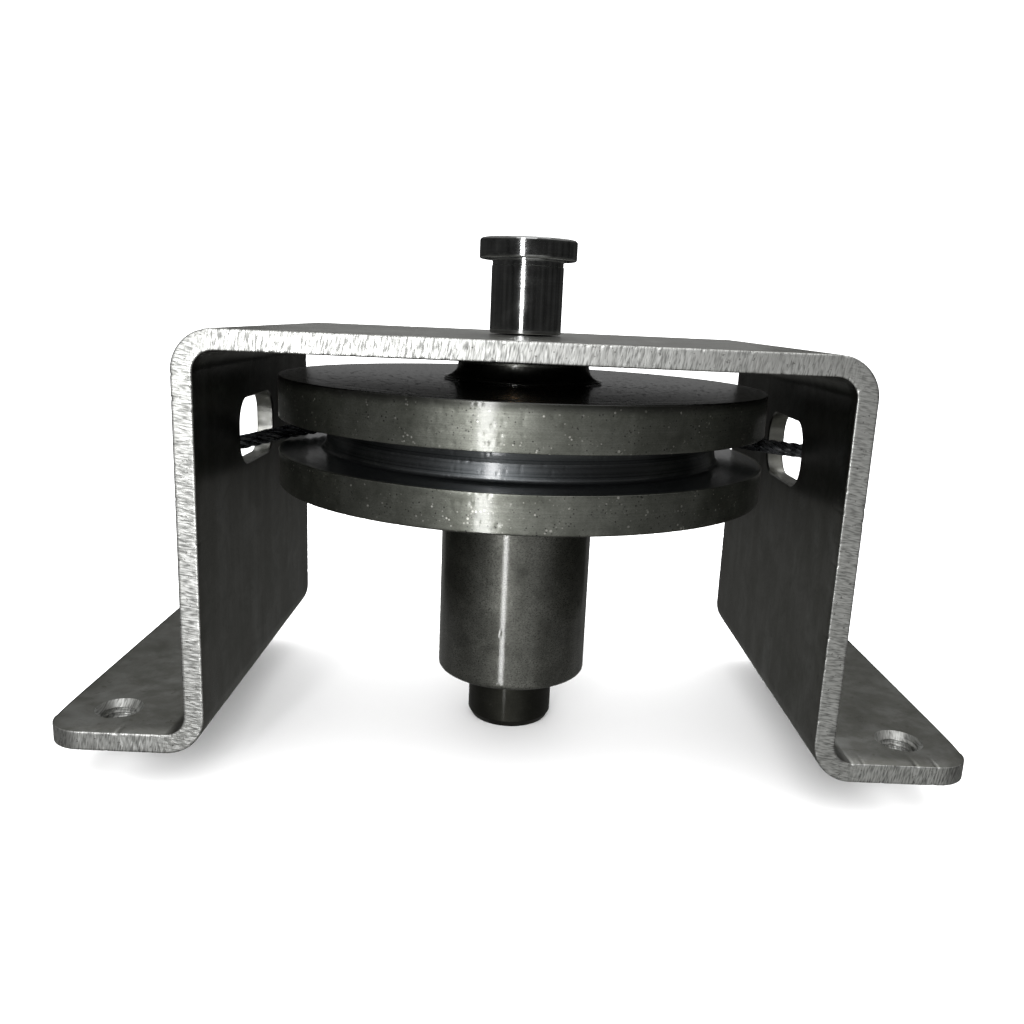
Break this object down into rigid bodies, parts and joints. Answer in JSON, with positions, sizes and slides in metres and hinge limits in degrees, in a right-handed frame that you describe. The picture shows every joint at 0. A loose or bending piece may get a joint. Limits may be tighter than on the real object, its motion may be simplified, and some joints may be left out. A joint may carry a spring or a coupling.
{
  "type": "cable sheave cam follower",
  "caption": "Folded steel hat bracket with a fixed vertical spindle, a grooved rope sheave turning inside it and a headed steel follower roller turning above it.",
  "frame": {"origin": "on the spindle axis, in the plane of the flange undersides that bolt to the machine", "axes": "+Z along the spindle towards the follower head, +X across the two flanges, +Y towards the rear where the rope wraps the sheave"},
  "size_m": [0.232, 0.136, 0.1404],
  "materials": {
    "plate_steel": "as-rolled stainless plate with sawn edges",
    "dark_steel": "dark oiled turned steel",
    "spring_steel": "black phosphated",
    "bronze": "oiled sintered bronze",
    "turned_steel": "fine turned, lightly pitted",
    "barrel_steel": "turned, mottled",
    "weld_metal": "rippled weld bead",
    "polished_steel": "ground and polished",
    "ground_steel": "ground",
    "rope_wire": "greased wire strands",
    "crimp_metal": "pressed"
  },
  "bodies": {
    "bracket_body": {"bracket": "plate_steel", "spindle": "dark_steel", "circlip": "spring_steel", "lower_thrust_washer": "bronze", "upper_thrust_washer": "bronze", "follower_sleeve": "ground_steel", "follower_washer": "ground_steel", "follower_nut": "ground_steel", "wire_rope": "rope_wire", "rope_end_sleeve_left": "crimp_metal", "rope_end_sleeve_right": "crimp_metal"},
    "sheave_body": {"sheave": "turned_steel", "hub_barrel": "barrel_steel", "hub_weld": "weld_metal", "lower_bush": "bronze", "upper_bush": "bronze"},
    "follower_body": {"follower_roller": "polished_steel", "follower_bush": "bronze"}
  },
  "joints": [
    {"name": "sheave_spin", "type": "hinge", "parent": "bracket_body", "child": "sheave_body", "pos_m": [0, 0, 0.0515], "axis": [0, 0, 1], "continuous": true},
    {"name": "follower_spin", "type": "hinge", "parent": "bracket_body", "child": "follower_body", "pos_m": [0, 0, 0.1145], "axis": [0, 0, 1], "continuous": true}
  ]
}
